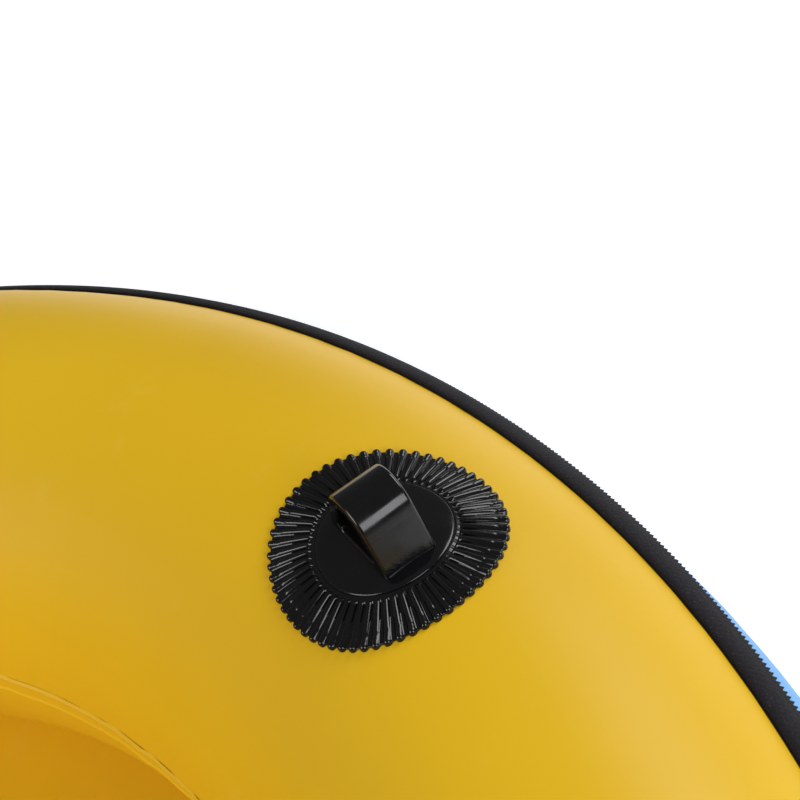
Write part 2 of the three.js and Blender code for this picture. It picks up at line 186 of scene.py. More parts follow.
def tube(path, radius, sides, normal=(0, 0, 1)):
    """A closed round tube along points [n, 3]. radius is a number, or an array [n, sides]."""
    path = np.asarray(path, float)
    along = np.gradient(path, axis=0)
    along /= np.linalg.norm(along, axis=1)[:, None]
    side = np.cross(along, np.array(normal, float))
    side /= np.linalg.norm(side, axis=1)[:, None]
    up = np.cross(side, along)
    turn = np.linspace(0, TAU, sides, endpoint=False)
    radius = np.broadcast_to(radius, (len(path), sides))[..., None]
    ring = side[:, None] * np.cos(turn)[None, :, None] + up[:, None] * np.sin(turn)[None, :, None]
    points = path[:, None] + ring * radius
    ends = [np.broadcast_to(path[k], (1, sides, 3)) for k in (0, -1)]
    return grid(np.concatenate([ends[0], points, ends[1]]), wrap_u=False)


def smooth_curve(points, step):
    """Centripetal spline through a few points, evenly stepped."""
    p = np.asarray(points, float)
    p = np.vstack([2 * p[0] - p[1], p, 2 * p[-1] - p[-2]])
    found = []
    for i in range(1, len(p) - 2):
        p0, p1, p2, p3 = p[i - 1:i + 3]
        t = np.cumsum([0, *(np.sqrt(np.linalg.norm(b - a)) for a, b in ((p0, p1), (p1, p2), (p2, p3)))])
        u = np.linspace(t[1], t[2], 24, endpoint=False)[:, None]
        a1 = (t[1] - u) / (t[1] - t[0]) * p0 + (u - t[0]) / (t[1] - t[0]) * p1
        a2 = (t[2] - u) / (t[2] - t[1]) * p1 + (u - t[1]) / (t[2] - t[1]) * p2
        a3 = (t[3] - u) / (t[3] - t[2]) * p2 + (u - t[2]) / (t[3] - t[2]) * p3
        b1 = (t[2] - u) / (t[2] - t[0]) * a1 + (u - t[0]) / (t[2] - t[0]) * a2
        b2 = (t[3] - u) / (t[3] - t[1]) * a2 + (u - t[1]) / (t[3] - t[1]) * a3
        found.append((t[2] - u) / (t[2] - t[1]) * b1 + (u - t[1]) / (t[2] - t[1]) * b2)
    curve = np.vstack([*found, p[-2][None]])
    lengths = np.concatenate([[0], np.cumsum(np.linalg.norm(np.diff(curve, axis=0), axis=1))])
    even = np.linspace(0, lengths[-1], max(2, int(lengths[-1] / step)))
    return np.stack([np.interp(even, lengths, curve[:, k]) for k in range(3)], axis=-1)


# ---- the ring's section ----

def section(angle, inset=0.0):
    """Points [n, 2] of the section: angle 0 outside, a quarter turn on the crest, half at the cockpit."""
    angle = np.asarray(angle, float)
    sine = np.sin(angle)
    z = HALF_HEIGHT + (HALF_HEIGHT + np.where(sine < 0, FLOOR_PRESS, 0) - inset) * sine
    soft = 0.4 * MM
    z = inset + (z - inset + np.sqrt((z - inset) ** 2 + soft ** 2)) / 2
    return np.stack([RING + (HALF_WIDTH - inset) * np.cos(angle), z], axis=-1)


def section_normal(angle):
    """Unit vectors [n, 2] that point out of the section."""
    n = np.stack([np.cos(angle) / HALF_WIDTH, np.sin(angle) / HALF_HEIGHT], axis=-1)
    return n / np.linalg.norm(n, axis=-1, keepdims=True)


SEAM_POINT = section(OUTER_SEAM)
ALONG_FLANGE = np.array([math.cos(BINDING_SLOPE), math.sin(BINDING_SLOPE)])
OFF_FLANGE = np.array([-ALONG_FLANGE[1], ALONG_FLANGE[0]])


def on_flange(d, n):
    """A point beside the outer seam, d metres along its sewn flange and n above it."""
    d, n = np.asarray(d, float)[..., None], np.asarray(n, float)[..., None]
    return SEAM_POINT + d * ALONG_FLANGE + n * OFF_FLANGE


def on_ring(azimuth, angle, height):
    """World points at a height over the cover. azimuth runs from +Y towards +X."""
    at = section(angle) + section_normal(angle) * np.asarray(height)[..., None]
    return np.stack([at[..., 0] * np.sin(azimuth), at[..., 0] * np.cos(azimuth), at[..., 1]], axis=-1)


# ---- shader helpers ----

class Shader:
    """One material: a Principled BSDF and the nodes that feed it, in object coordinates."""

    def __init__(self, name, **principled):
        self.material = bpy.data.materials.new(name)
        self.material.use_nodes = True
        self.tree = self.material.node_tree
        self.tree.nodes.clear()
        output = self.tree.nodes.new("ShaderNodeOutputMaterial")
        self.bsdf = self.tree.nodes.new("ShaderNodeBsdfPrincipled")
        self.tree.links.new(self.bsdf.outputs[0], output.inputs[0])
        for key, value in principled.items():
            self.bsdf.inputs[key.replace("_", " ")].default_value = value
        self.position = self.node("ShaderNodeTexCoord").outputs["Object"]
        split = self.node("ShaderNodeSeparateXYZ", Vector=self.position)
        self.x, self.y, self.z = split.outputs

    def node(self, kind, **inputs):
        made = self.tree.nodes.new(kind)
        for key, value in inputs.items():
            self.feed(made.inputs[key.replace("_", " ")], value)
        return made

    def feed(self, socket, value):
        if isinstance(value, bpy.types.NodeSocket):
            self.tree.links.new(value, socket)
        else:
            socket.default_value = value

    def math(self, operation, a, b=0.0, c=0.0):
        made = self.tree.nodes.new("ShaderNodeMath")
        made.operation = operation
        for socket, value in zip(made.inputs, (a, b, c)):
            self.feed(socket, value)
        return made.outputs[0]

    def noise(self, scale, detail=3.0, rough=0.5):
        made = self.node("ShaderNodeTexNoise", Vector=self.position, Scale=scale, Detail=detail,
                         Roughness=rough)
        return made.outputs[0]

    def remap(self, value, low, high, to_low=0.0, to_high=1.0):
        made = self.node("ShaderNodeMapRange", Value=value)
        for socket, number in zip(made.inputs[1:5], (low, high, to_low, to_high)):
            socket.default_value = number
        return made.outputs[0]

    def mix(self, factor, a, b):
        made = self.tree.nodes.new("ShaderNodeMix")
        made.data_type = "RGBA"
        for socket, value in ((made.inputs[0], factor), (made.inputs[6], a), (made.inputs[7], b)):
            self.feed(socket, value)
        return made.outputs[2]

    def arc(self):
        """Distance round the ring and round its section, in metres."""
        around = self.math("MULTIPLY", self.math("ARCTAN2", self.x, self.y), RING)
        radius = self.math("SQRT", self.math("ADD", self.math("MULTIPLY", self.x, self.x),
                                             self.math("MULTIPLY", self.y, self.y)))
        turn = self.math("ARCTAN2", self.math("SUBTRACT", self.z, HALF_HEIGHT),
                         self.math("SUBTRACT", radius, RING))
        return around, self.math("MULTIPLY", turn, (HALF_WIDTH + HALF_HEIGHT) / 2)

    def weave(self, u, v, pitch):
        """Plain weave of that pitch: 0 in the gaps, 1 on the threads."""
        across = self.math("SINE", self.math("MULTIPLY", u, TAU / pitch))
        along = self.math("SINE", self.math("MULTIPLY", v, TAU / pitch))
        return self.math("MULTIPLY_ADD", self.math("MULTIPLY", across, along), 0.5, 0.5)

    def bump(self, height, strength, distance, normal=None):
        made = self.node("ShaderNodeBump", Height=height)
        made.inputs["Strength"].default_value = strength
        made.inputs["Distance"].default_value = distance
        if normal is not None:
            self.feed(made.inputs["Normal"], normal)
        return made.outputs[0]

    def finish(self, color, roughness, normal=None):
        self.feed(self.bsdf.inputs["Base Color"], color)
        self.feed(self.bsdf.inputs["Roughness"], roughness)
        if normal is not None:
            self.feed(self.bsdf.inputs["Normal"], normal)
        return self.material


# ---- materials ----

def coated_fabric(name, base, deep, worn):
    """PVC-coated woven cloth: satin coat over a weave that only just shows, a few specks and scuffs."""
    s = Shader(name, Specular_IOR_Level=0.22, Coat_Weight=0.02, Coat_Roughness=0.42)
    u, v = s.arc()
    weave = s.weave(u, v, 0.9 * MM)
    cloud = s.noise(7.0, 3.0)
    stretch = s.noise(60.0, 2.0)
    color = s.mix(s.remap(cloud, 0.35, 0.65, 0.0, 0.5), base, deep)
    # Painted shade: the weave's gaps are turned slightly towards the deeper tone, as shade in them would.
    color = s.mix(s.remap(weave, 0.0, 1.0, 0.05, 0.0), color, deep)
    flecks = s.node("ShaderNodeTexVoronoi", Vector=s.position, Scale=16.0)
    ragged = s.math("MULTIPLY", s.noise(900.0), 0.012)
    dot = s.remap(s.math("ADD", flecks.outputs["Distance"], ragged), 0.020, 0.030, 0.55, 0.0)
    color = s.mix(dot, color, (0.10, 0.07, 0.04, 1))
    rub = s.remap(s.noise(22.0, 6.0, rough=0.7), 0.60, 0.78, 0.0, 0.30)
    color = s.mix(rub, color, worn)
    rough = s.math("ADD", s.remap(cloud, 0.3, 0.7, 0.42, 0.46), s.math("MULTIPLY", rub, 0.2))
    normal = s.bump(weave, 0.10, 0.05 * MM)
    normal = s.bump(stretch, 0.05, 0.6 * MM, normal)
    return s.finish(color, rough, normal)


def woven_tape(name, base, light, pitch):
    """Heavy ribbed tape: ribs run across it, and single bright fibres catch the light."""
    s = Shader(name, Specular_IOR_Level=0.18, Sheen_Weight=0.04, Sheen_Roughness=0.5)
    u, v = s.arc()
    slant = s.math("ADD", u, s.math("MULTIPLY", v, 0.35))
    ribs = s.math("ABSOLUTE", s.math("SINE", s.math("MULTIPLY", slant, math.pi / pitch)))
    yarn = s.weave(s.math("ADD", u, v), s.math("SUBTRACT", u, v), pitch * 0.42)
    fuzz = s.noise(1500.0, 4.0, rough=0.7)
    glint = s.remap(s.noise(1150.0, 2.0), 0.58, 0.74, 0.0, 0.7)
    # Painted highlight and shade: crown is the same yarn lightened on its raised threads, and the gaps
    # between them stay darker, as light and shade would fall on the weave.
    crown = (base[0] * 1.8, base[1] * 1.8, base[2] * 1.8, 1)
    color = s.mix(s.remap(yarn, 0.0, 1.0, 0.0, 0.7), base, crown)
    color = s.mix(glint, color, light)
    height = s.math("ADD", s.math("MULTIPLY", ribs, 0.18),
                    s.math("ADD", s.math("MULTIPLY", yarn, 0.5), s.math("MULTIPLY", fuzz, 0.6)))
    return s.finish(color, s.remap(fuzz, 0.3, 0.7, 0.72, 0.95), s.bump(height, 0.9, 0.35 * MM))


def moulded(name, base=(0.0035, 0.0035, 0.0042, 1), rough=(0.11, 0.19)):
    """Glossy moulded PVC with faint flow marks and a little dust."""
    s = Shader(name, Specular_IOR_Level=0.42)
    flow = s.noise(90.0, 3.0)
    fine = s.noise(700.0, 3.0)
    dust = s.remap(s.noise(2600.0, 1.0), 0.73, 0.80, 0.0, 0.35)
    color = s.mix(dust, base, (0.10, 0.10, 0.11, 1))
    roughness = s.math("ADD", s.remap(flow, 0.35, 0.65, rough[0], rough[1]), s.math("MULTIPLY", dust, 0.3))
    normal = s.bump(flow, 0.10, 0.5 * MM)
    return s.finish(color, roughness, s.bump(fine, 0.05, 0.08 * MM, normal))


def foam(name):
    """Closed-cell foam with small open pores on its skin."""
    s = Shader(name, Specular_IOR_Level=0.3)
    cells = s.node("ShaderNodeTexVoronoi", Vector=s.position, Scale=1500.0).outputs["Distance"]
    cloud = s.noise(120.0)
    color = s.mix(s.remap(cloud, 0.3, 0.7), (0.010, 0.010, 0.011, 1), (0.022, 0.022, 0.024, 1))
    return s.finish(color, s.remap(cells, 0.0, 0.7, 0.9, 0.6), s.bump(cells, 0.5, 0.2 * MM))


def braid(name):
    """Fuzzy rope fibre with some lighter yarns."""
    s = Shader(name, Specular_IOR_Level=0.35, Sheen_Weight=0.2)
    fibre = s.noise(2200.0, 4.0, rough=0.7)
    tracer = s.remap(s.noise(420.0, 1.0), 0.60, 0.66)
    color = s.mix(s.remap(fibre, 0.3, 0.7), (0.008, 0.008, 0.010, 1), (0.045, 0.045, 0.052, 1))
    color = s.mix(tracer, color, (0.10, 0.11, 0.13, 1))
    return s.finish(color, s.remap(fibre, 0.3, 0.7, 0.55, 0.85), s.bump(fibre, 0.5, 0.15 * MM))


def vinyl(name):
    """Dark bladder film."""
    s = Shader(name, Specular_IOR_Level=0.5)
    cloud = s.noise(18.0)
    color = s.mix(s.remap(cloud, 0.3, 0.7), (0.012, 0.013, 0.015, 1), (0.022, 0.024, 0.027, 1))
    return s.finish(color, s.remap(cloud, 0.3, 0.7, 0.35, 0.5), s.bump(s.noise(240.0), 0.15, 0.3 * MM))


def zinc(name):
    """Cast zinc, partly tarnished."""
    s = Shader(name, Metallic=1.0)
    brushed = s.noise(900.0, 4.0)
    tarnish = s.remap(s.noise(160.0, 4.0), 0.45, 0.7)
    color = s.mix(tarnish, (0.55, 0.56, 0.58, 1), (0.30, 0.30, 0.31, 1))
    return s.finish(color, s.remap(brushed, 0.3, 0.7, 0.22, 0.42), s.bump(brushed, 0.15, 0.05 * MM))


YELLOW = coated_fabric("yellow_fabric", (0.76, 0.465, 0.012, 1), (0.71, 0.42, 0.008, 1),
                       (0.78, 0.53, 0.07, 1))
BLUE = coated_fabric("blue_fabric", (0.11, 0.37, 0.79, 1), (0.085, 0.31, 0.70, 1), (0.25, 0.48, 0.82, 1))
TAPE = woven_tape("binding_weave", (0.0055, 0.0045, 0.0068, 1), (0.048, 0.043, 0.058, 1), TOOTH_PITCH)
ZIP_WEAVE = woven_tape("zip_weave", (0.007, 0.007, 0.008, 1), (0.05, 0.05, 0.055, 1), 1.2 * MM)
BLACK = moulded("moulded_pvc")
COIL = moulded("zip_nylon", (0.010, 0.010, 0.011, 1), (0.3, 0.45))
RUBBER = moulded("soft_rubber", (0.011, 0.011, 0.012, 1), (0.5, 0.65))
FOAM = foam("grip_cells")
ROPE = braid("rope_fibre")
VINYL = vinyl("bladder_film")
ZINC = zinc("zip_zinc")


# ---- cover ----

def pucker(near, reach, amount, waves):
    """Fine irregular gathers beside a seam, fading out over reach metres of section arc."""
    sines = 7
    counts = rng.integers(waves[0], waves[1], sines)
    phases = rng.uniform(0, TAU, sines)

    def offsets(phi, outline):
        angle = np.arctan2((outline[:, 1] - HALF_HEIGHT) / HALF_HEIGHT, (outline[:, 0] - RING) / HALF_WIDTH)
        gap = np.abs(np.angle(np.exp(1j * (angle - near)))) * (HALF_WIDTH + HALF_HEIGHT) / 2
        fade = np.exp(-(gap / reach) ** 2) * np.clip(gap / (2 * MM), 0, 1)
        wave = sum(np.sin(n * phi + p) for n, p in zip(counts, phases)) / 3
        size = amount * wave * fade[None, :]
        normal = section_normal(angle)
        return size * normal[:, 0], size * normal[:, 1]

    return offsets


def both(first, second):
    """Two sets of gathers at once."""
    def offsets(phi, outline):
        one, two = first(phi, outline), second(phi, outline)
        return one[0] + two[0], one[1] + two[1]

    return offsets


top_angles = np.linspace(OUTER_SEAM, COCKPIT_SEAM - SEAM_GAP, 70)
flange = on_flange([0.013, 0.008, 0.004, 0.001], 0)
flange_under = on_flange([0.001, 0.004, 0.008, 0.013], -COVER_THICK)
top_outline = np.vstack([flange, section(top_angles[1:]), section(top_angles[::-1][:-1], COVER_THICK),
                         flange_under])
top_gathers = both(pucker(OUTER_SEAM, 0.016, 0.16 * MM, (60, 150)),
                   pucker(COCKPIT_SEAM, 0.02, 0.25 * MM, (40, 120)))
cover_top = build("upper_cover", [revolve(top_outline, SEGMENTS, wobble=top_gathers)], YELLOW, "tube",
                  ["cover_top"])

wall_angles = np.linspace(COCKPIT_SEAM + SEAM_GAP, FLOOR_SEAM, 28)
wall_outline = np.vstack([section(wall_angles), section(wall_angles[::-1], COVER_THICK)])
wall_gathers = both(pucker(COCKPIT_SEAM, 0.02, 0.3 * MM, (40, 120)),
                    pucker(FLOOR_SEAM, 0.03, 0.9 * MM, (30, 90)))
build("cockpit_wall", [revolve(wall_outline, SEGMENTS, wobble=wall_gathers)], YELLOW, "tube",
      ["cover_inner_wall"])

# The lower cover's edge is tucked in under the binding: section angle in degrees, depth in millimetres.
tuck = [(38, 3.0), (36.5, 1.8), (35, 0.9), (33, 0.25)]
tuck_out = np.vstack([section(math.radians(a), depth * MM) for a, depth in tuck])
tuck_in = np.vstack([section(math.radians(a), depth * MM + COVER_THICK) for a, depth in tuck])
low_angles = np.concatenate([np.radians([31, 28, 24]),
                             np.linspace(math.radians(20), FLOOR_SEAM - TAU + 0.005, 80)])
lower_outline = np.vstack([
    on_flange([0.013, 0.006, -0.0006], -1.5 * MM), on_flange(-0.0006, -5.6 * MM)[None],
    tuck_in, section(low_angles, COVER_THICK), section(low_angles[::-1]), tuck_out[::-1],
    on_flange([0.0008, 0.0008, 0.006, 0.013], np.array([-4.4, -2.7, -2.7, -2.7]) * MM)])
lower_gathers = both(pucker(OUTER_SEAM, 0.045, 0.55 * MM, (50, 140)),
                     pucker(FLOOR_SEAM, 0.03, 0.8 * MM, (30, 90)))
build("lower_cover", [revolve(lower_outline, SEGMENTS, wobble=lower_gathers)], BLUE, "tube",
      ["cover_lower"])


floor_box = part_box("cover_floor")


def floor_panel():
    """The stretched floor: slack radial ripples run in from its seam."""
    top = floor_box[1].z
    edge = floor_box[1].x - 0.2 * MM
    rho = np.concatenate([[0], np.linspace(0.02, edge, 60)])
    phi = np.linspace(0, TAU, 288, endpoint=False)[:, None]
    ripples = sum(np.sin(n * phi + p) for n, p in ((17, 0.4), (26, 2.1), (41, 1.2), (63, 4.0))) / 2.5
    depth, slack = 4.5 * MM, 0.9 * MM
    sag = -depth * (1 - (rho / edge) ** 2)
    height = top + sag + slack * ripples * (rho / edge) ** 5 * (1 - (rho / edge) ** 24)
    layers = []
    for drop, order in ((0.0, slice(None)), (COVER_THICK, slice(None, None, -1))):
        points = np.stack([rho * np.sin(phi), rho * np.cos(phi), height - drop], axis=-1)
        layers.append(points[:, order])
    return grid(np.concatenate(layers, axis=1), wrap_v=False)


floor = build("floor_panel", [floor_panel()], YELLOW, "tube", ["cover_floor"])


# ---- seam tapes and binding ----

def bead_tape(angles, lift, thick, bead):
    """A weld strip over a seam with a raised bead along both edges."""
    t = np.linspace(0, 1, 25)
    angle = angles[0] + (angles[1] - angles[0]) * t
    upper, lower, spread = 0.1, 0.88, 0.06
    ridge = np.exp(-((t - upper) / spread) ** 2) + 0.85 * np.exp(-((t - lower) / spread) ** 2)
    rounding = 1 - np.abs(2 * t - 1) ** 12
    outer = section(angle) + section_normal(angle) * (lift + thick * rounding + bead * ridge)[:, None]
    inner = section(angle) + section_normal(angle) * lift
    return np.vstack([outer, inner[::-1]])


inner_tape = bead_tape(COCKPIT_SEAM + np.radians([-3.1, 3.1]), 0.1 * MM, 0.45 * MM, 1.1 * MM)
weld_gathers = pucker(COCKPIT_SEAM + 0.3, 0.08, 0.45 * MM, (30, 160))
build("cockpit_seam_weld", [revolve(inner_tape, SEGMENTS, wobble=weld_gathers)], YELLOW, "tube",
      ["inner_seam_tape"])

# A strip under the floor turns down onto the lower cover. A round bead fills the corner of floor and wall.
STRIP_REACH = 14 * MM
BEAD_RADIUS = 1.7 * MM
strip = np.array([
    [floor_box[1].x - STRIP_REACH, floor_box[0].z - 0.4 * MM],
    *section(np.radians([236.3, 238, 239.5, 241]), -0.45 * MM),
    *section(np.radians([241, 239.5, 238]), -1.4 * MM),
    [floor_box[1].x - STRIP_REACH, floor_box[0].z - 1.4 * MM]])
bead_turn = np.linspace(0, TAU, 10, endpoint=False)
corner_bead = np.stack([floor_box[1].x - 0.5 * MM + BEAD_RADIUS * np.cos(bead_turn),
                        floor_box[1].z + 0.3 * MM + BEAD_RADIUS * np.sin(bead_turn)], axis=-1)
build("floor_seam_weld", [revolve(strip, SEGMENTS), revolve(corner_bead, SEGMENTS)], YELLOW, "tube",
      ["floor_seam_tape"])


def binding_outline():
    """Folded tape round the flange: top leg, rounded fold, lower leg and the slot between them."""
    fold = np.linspace(math.pi / 2, -math.pi / 2, 9)
    tip = BINDING_WIDTH - FOLD_RADIUS
    top = np.array([(-0.2, 0.7), (0.1, 1.4), (0.9, 2.1), (3, 2.6), (6, 2.7), (9, 2.4), (11.5, 1.7)]) * MM
    lower = np.array([(9, -3.9), (4, -3.9), (1.4, -3.9), (1.4, -3.0), (4, -3.0), (9, -3.0)]) * MM
    slot = np.array([(13.6, -3.0), (13.8, -1.3), (13.6, 0.2), (6, 0.25), (1, 0.25), (0, 0.3)]) * MM
    return np.vstack([
        on_flange(top[:, 0], top[:, 1]),
        on_flange(tip + FOLD_RADIUS * np.cos(fold), FOLD_MIDDLE + FOLD_RADIUS * np.sin(fold)),
        on_flange(lower[:, 0], lower[:, 1]),
        on_flange(slot[:, 0], slot[:, 1])])


def fold_loops():
    """The tape's ribs stand out along its fold as a row of small rounded loops."""
    count = round(TAU * SEAM_POINT[0] / TOOTH_PITCH)
    samples_per_loop = 6
    phi = np.linspace(0, TAU, count * samples_per_loop, endpoint=False)[:, None]
    lobe = 0.5 - 0.5 * np.cos(phi * count)
    wrap = 1.35 * math.pi / 2
    turn = np.linspace(-wrap, wrap, 6)
    spread = np.concatenate([turn, [math.pi]])[None, :]
    rise = np.concatenate([np.ones_like(turn), [0]])[None, :]
    d = BINDING_WIDTH - FOLD_RADIUS + (LOOP_REACH + LOOP_DEPTH * lobe) * rise * np.cos(spread)
    n = FOLD_MIDDLE + LOOP_HALF_HEIGHT * rise * np.sin(spread)
    r = SEAM_POINT[0] + d * ALONG_FLANGE[0] + n * OFF_FLANGE[0]
    z = SEAM_POINT[1] + d * ALONG_FLANGE[1] + n * OFF_FLANGE[1]
    return grid(np.stack([r * np.sin(phi), r * np.cos(phi), z], axis=-1))


build("edge_binding", [revolve(binding_outline(), 512), fold_loops()], TAPE, "tube",
      ["outer_binding"], sharp=70)


# ---- moulded lugs ----

def arc_to_angle(centre):
    """Table from distance along the section, outwards from centre, to section angle."""
    angle = np.linspace(centre + 1.2, centre - 1.2, 800)
    step = np.hypot(HALF_WIDTH * np.sin(angle), HALF_HEIGHT * np.cos(angle))
    length = np.concatenate([[0], np.cumsum((step[1:] + step[:-1]) / 2 * np.abs(np.diff(angle)))])
    return length - np.interp(0, centre - angle, length), angle


def lug_surface(azimuth, centre, twist):
    """Maps x across the lug's hole, y along it and a height to world points on the cover."""
    length, angle = arc_to_angle(centre)

    def place(x, y, height):
        across = x * math.cos(twist) - y * math.sin(twist)
        outwards = x * math.sin(twist) + y * math.cos(twist)
        at = np.interp(outwards, length, angle)
        radius = section(at)[..., 0]
        return on_ring(azimuth + across / radius, at, height)

    return place


def ribbed_skirt(place, per_rib, rings):
    """Ring of radial ribs with bulbed ends, a step at its inner edge and a faint weld line."""
    theta = np.linspace(0, TAU, LUG_RIBS * per_rib, endpoint=False)[:, None]
    off = np.abs(2 * ((theta / TAU * LUG_RIBS) % 1) - 1)
    rib = np.sqrt(np.clip(1 - (off / 0.62) ** 2, 0, 1))
    bulb = np.sqrt(np.clip(1 - (off / 0.66) ** 2, 0, 1))
    bulb_reach = 1.3 * MM
    rib_height = 1.35 * MM
    relief = 0.35 * MM
    web = 0.85 * MM
    rim = 0.15 * MM
    weld_radius = 45.6 * MM
    inner, step, edge = FOOT_RADIUS - 0.1 * MM, FOOT_RADIUS + 1.9 * MM, SKIRT_RADIUS - bulb_reach
    lip_rho = [inner, inner + 0.25 * MM, inner + 0.8 * MM]
    rho = np.concatenate([lip_rho, np.linspace(step, edge, rings)])[None, :]
    rise = np.clip((rho - step) / (1.2 * MM), 0, 1) ** 0.5
    weld = relief * np.exp(-((rho - weld_radius) / (0.45 * MM)) ** 2)
    end = relief * np.exp(-((rho - edge) / bulb_reach) ** 2)
    lip = relief * (rho < step) * (rho > inner)
    top = web + lip + rise * ((rib_height - weld) * rib + end * bulb)
    reach = edge + bulb_reach * bulb
    curl = np.linspace(0.2, math.pi / 2, 5)[None, :]
    edge_rho = edge + (reach - edge) * np.sin(curl) + 0.3 * MM * np.sin(curl)
    edge_top = rim + (top[:, -1:] - rim) * np.cos(curl)
    bottom = np.array([[reach.mean() - 1.6 * MM, (inner + edge) / 2, inner]])
    rhos = np.hstack([np.broadcast_to(rho, (len(theta), rho.shape[1])), edge_rho,
                      np.broadcast_to(bottom, (len(theta), 3))])
    heights = np.hstack([top, edge_top, np.full((len(theta), 3), 0.05 * MM)])
    return grid(place(rhos * np.sin(theta), rhos * np.cos(theta), heights))


def foot_disc(place):
    """The flat disc inside the ribs, rounded at its rim."""
    sides = 96
    theta = np.linspace(0, TAU, sides, endpoint=False)[:, None]
    edge = FOOT_RADIUS
    rho = np.array([0, 8 * MM, 16 * MM, 24 * MM, edge - 2.8 * MM, edge - 0.9 * MM, edge - 0.3 * MM,
                    edge, edge + 0.1 * MM, 16 * MM, 0])
    height = np.array([1.9, 1.9, 1.9, 1.9, 1.9, 1.85, 1.7, 1.3, 0.08, 0.08, 0.08]) * MM
    rhos = np.broadcast_to(rho, (sides, len(rho)))
    return grid(place(rhos * np.sin(theta), rhos * np.cos(theta), np.broadcast_to(height, rhos.shape)),
                wrap_v=False)


def tangent(dx, dy, big, small):
    """Angle of the points where an outer tangent touches two circles. dx, dy run from big to small."""
    return math.atan2(dy, dx) + math.acos((big - small) / math.hypot(dx, dy))


def arc_points(middle, radius, start, stop, count):
    """Points [count, 2] on a circle, between two angles."""
    turn = np.linspace(start, stop, count)
    return np.array(middle) + radius * np.stack([np.cos(turn), np.sin(turn)], axis=-1)


def arch_outlines(turns):
    """Distances from the eye's middle to the arch's outside and to its hole, at the given turns."""
    crown, radius = ARCH_CROWN
    touch = tangent(ARCH_HALF_BASE, ARCH_FOOT - crown, radius, 0)
    base = np.linspace(-ARCH_HALF_BASE, ARCH_HALF_BASE, 60)
    outside = np.vstack([
        arc_points((0, crown), radius, touch, math.pi - touch, 60), [[-ARCH_HALF_BASE, ARCH_FOOT]],
        np.stack([base, np.zeros_like(base)], axis=-1), [[ARCH_HALF_BASE, ARCH_FOOT]]])
    corner_x, corner_z, corner_radius = HOLE_CORNER
    hole_z, hole_radius = HOLE_CROWN
    side = tangent(corner_x, corner_z - hole_z, hole_radius, corner_radius)
    hole = np.vstack([
        arc_points((0, hole_z), hole_radius, side, math.pi - side, 40),
        arc_points((-corner_x, corner_z), corner_radius, math.pi - side, 1.5 * math.pi, 40),
        arc_points((corner_x, corner_z), corner_radius, 1.5 * math.pi, TAU + side, 40)])
    found = []
    for line in (outside, hole):
        following = np.roll(line, -1, axis=0)
        fine = np.vstack([np.linspace(a, b, 12, endpoint=False) for a, b in zip(line, following)])
        fine = fine - [0, ARCH_MIDDLE]
        angle = np.unwrap(np.arctan2(fine[:, 1], fine[:, 0]))
        reach = np.hypot(fine[:, 0], fine[:, 1])
        angle, reach = np.tile(angle, 3) + np.repeat([-TAU, 0, TAU], len(angle)), np.tile(reach, 3)
        order = np.argsort(angle)
        found.append(np.interp(turns, angle[order], reach[order]))
    return found


def arch(frame_matrix):
    """The arched eye, with softly rounded edges on its two open faces."""
    corners = [math.atan2(height - ARCH_MIDDLE, x) % TAU
               for x in (ARCH_HALF_BASE, -ARCH_HALF_BASE) for height in (ARCH_FOOT, 0)]
    turns = np.sort(np.concatenate([np.linspace(0, TAU, 132, endpoint=False), corners]))
    outer, inner = arch_outlines(turns)
    curl = np.linspace(0, math.pi / 2, 6)
    half = ARCH_HALF_LENGTH
    front = [(outer - ARCH_EDGE * (1 - math.cos(c)), half - ARCH_EDGE * (1 - math.sin(c))) for c in curl]
    front += [(inner + ARCH_LIP * (1 - math.sin(c)), half - ARCH_LIP * (1 - math.cos(c))) for c in curl]
    back = [(reach, -y) for reach, y in front[::-1]]
    loops = []
    for reach, y in front + back:
        height = ARCH_MIDDLE + reach * np.sin(turns)
        loops.append(np.stack([reach * np.cos(turns), np.full_like(turns, y), height], axis=-1))
    return moved(grid(np.stack(loops, axis=1) * MM), frame_matrix)


def lug_frame(azimuth, centre, twist):
    """World matrix of a lug: X across the hole, Y along it, Z off the cover."""
    normal2 = section_normal(np.array(centre))
    n = Vector((normal2[0] * math.sin(azimuth), normal2[0] * math.cos(azimuth), normal2[1]))
    around = Vector((math.cos(azimuth), -math.sin(azimuth), 0))
    out = n.cross(around)
    x = around * math.cos(twist) + out * math.sin(twist)
    y = out * math.cos(twist) - around * math.sin(twist)
    at = on_ring(azimuth, np.array(centre), 0.0)
    return Matrix((
        (x[0], y[0], n[0], at[0]),
        (x[1], y[1], n[1], at[1]),
        (x[2], y[2], n[2], at[2]),
        (0, 0, 0, 1)))


def add_lug(name, azimuth, centre, twist, per_rib, rings):
    """A lug's two pieces. per_rib and rings set how fine its ribs are."""
    place = lug_surface(azimuth, centre, twist)
    build(f"{name}_ribbed_skirt", [ribbed_skirt(place, per_rib, rings)], BLACK, "tube",
          [f"{name}_skirt"], sharp=60)
    build(f"{name}_arch", [foot_disc(place), arch(lug_frame(azimuth, centre, twist))], BLACK, "tube",
          [f"{name}_eye"], sharp=50)


add_lug("tow_lug", 0.0, LUG_ANGLE, 0.0, per_rib=14, rings=26)
for side, sign in (("right", 1), ("left", -1)):
    for end, way in (("front", 1), ("rear", -1)):
        azimuth = math.atan2(sign * HANDLE_X, way * HANDLE_HALF_SPAN)
        add_lug(f"{side}_handle_{end}_lug", azimuth, math.pi / 2, azimuth, per_rib=8, rings=14)


# ---- side handles ----

def braided(path, radius, sides=24):
    """A braided rope along a path: crossing strands stand out of its surface."""
    strands, lay = 8, 0.026
    length = np.concatenate([[0], np.cumsum(np.linalg.norm(np.diff(path, axis=0), axis=1))])[:, None]
    turn = np.linspace(0, 1, sides, endpoint=False)[None, :]
    one = np.abs(np.cos(math.pi * strands * (length / lay + turn) / 2))
    two = np.abs(np.cos(math.pi * strands * (length / lay - turn) / 2))
    relief = np.maximum(one, two) ** 1.5
    return tube(path, radius * (0.90 + 0.11 * relief), sides)


